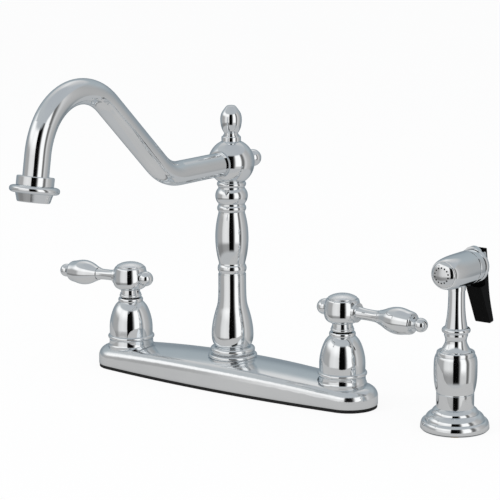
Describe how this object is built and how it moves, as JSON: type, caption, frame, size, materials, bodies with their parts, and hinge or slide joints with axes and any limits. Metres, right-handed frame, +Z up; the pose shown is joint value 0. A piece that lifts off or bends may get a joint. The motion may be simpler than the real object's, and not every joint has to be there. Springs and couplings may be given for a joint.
{
  "type": "two handle kitchen faucet",
  "caption": "Chrome widespread kitchen faucet with deck plate, baluster column, swivelling gooseneck spout, hot and cold lever handles and a lift-out hand sprayer with trigger.",
  "frame": {"origin": "centre of the deck plate on the deck surface, on the spout's swivel axis", "axes": "+X along the deck plate from the hot handle to the cold handle and sprayer, -Y is where the spout points at rest, +Z up from the deck"},
  "size_m": [0.401, 0.2732, 0.301],
  "materials": {
    "chrome": "polished chrome plate on brass and zinc",
    "brass": "machined, under the plate and bells",
    "copper": "drawn tube",
    "steel": "plain stainless",
    "rubber": "black moulded rubber",
    "ceramic": "lapped ceramic",
    "black_plastic": "smooth black moulding",
    "spray_plate": "bright plate with dark spray holes",
    "grey_plastic": "moulded"
  },
  "bodies": {
    "base": {"base_ring": "chrome", "bearing_washer": "grey_plastic", "cold_bell": "chrome", "cold_cartridge": "brass", "cold_cross_tube": "copper", "cold_fixed_disc": "ceramic", "cold_seat_seal": "rubber", "cold_valve_body": "brass", "deck_gasket": "rubber", "deck_plate": "chrome", "holder_nut": "brass", "hot_bell": "chrome", "hot_cartridge": "brass", "hot_cross_tube": "copper", "hot_fixed_disc": "ceramic", "hot_seat_seal": "rubber", "hot_valve_body": "brass", "hub_o_rings": "rubber", "mounting_nuts": "brass", "mounting_washers": "steel", "retaining_ring": "steel", "spout_hub": "brass", "sprayer_holder": "chrome"},
    "spout": {"spout_column": "chrome", "ball_head": "chrome", "top_finial": "chrome", "back_finial": "chrome", "spout_tube": "chrome", "outlet_collar": "chrome", "aerator_housing": "chrome", "aerator_insert": "grey_plastic", "aerator_washer": "rubber"},
    "hot_handle": {"hot_handle_hub": "chrome", "hot_index_cap": "chrome", "hot_set_screw": "steel", "hot_lever": "chrome", "hot_grip": "chrome", "hot_tip_ball": "chrome", "hot_back_ball": "chrome", "hot_spindle": "brass", "hot_moving_disc": "ceramic"},
    "cold_handle": {"cold_handle_hub": "chrome", "cold_index_cap": "chrome", "cold_set_screw": "steel", "cold_lever": "chrome", "cold_grip": "chrome", "cold_tip_ball": "chrome", "cold_back_ball": "chrome", "cold_spindle": "brass", "cold_moving_disc": "ceramic"},
    "diverter": {"diverter_plunger": "grey_plastic"},
    "hose_end": {"hose_coupling": "grey_plastic"},
    "sprayer": {"sprayer_body": "chrome", "sprayer_head": "chrome", "spray_face": "spray_plate", "rear_cap": "chrome", "trigger_pin": "steel"},
    "trigger_lever": {"trigger": "black_plastic"},
    "plunger": {"valve_plunger": "steel"}
  },
  "joints": [
    {"name": "spout_swivel", "type": "hinge", "parent": "base", "child": "spout", "pos_m": [0, 0, 0], "axis": [0, 0, 1], "continuous": true},
    {"name": "hot_turn", "type": "hinge", "parent": "base", "child": "hot_handle", "pos_m": [-0.1016, 0, 0], "axis": [0, 0, 1], "range_deg": [0, 90]},
    {"name": "cold_turn", "type": "hinge", "parent": "base", "child": "cold_handle", "pos_m": [0.1016, 0, 0], "axis": [0, 0, -1], "range_deg": [0, 90]},
    {"name": "diverter_lift", "type": "slide", "parent": "base", "child": "diverter", "axis": [0, 0, 1], "range_m": [0, 0.003]},
    {"name": "sprayer_lift", "type": "slide", "parent": "base", "child": "hose_end", "axis": [0, 0, 1], "range_m": [0, 0.035]},
    {"name": "sprayer_swivel", "type": "hinge", "parent": "hose_end", "child": "sprayer", "pos_m": [0.202, -0.006, 0], "axis": [0, 0, 1], "range_deg": [-200, 55]},
    {"name": "trigger_press", "type": "hinge", "parent": "sprayer", "child": "trigger_lever", "pos_m": [0.202, 0.0213, 0.12205], "axis": [-1, 0, 0], "range_deg": [0, 12], "stiffness_Nm_per_rad": 0.3, "springref_deg": -17.19},
    {"name": "plunger_push", "type": "slide", "parent": "sprayer", "child": "plunger", "axis": [0, -1, 0], "range_m": [0, 0.0016]}
  ],
  "couplings": [
    {"joint": "plunger_push", "follows": "trigger_press", "m_per_rad": 0.0074}
  ]
}
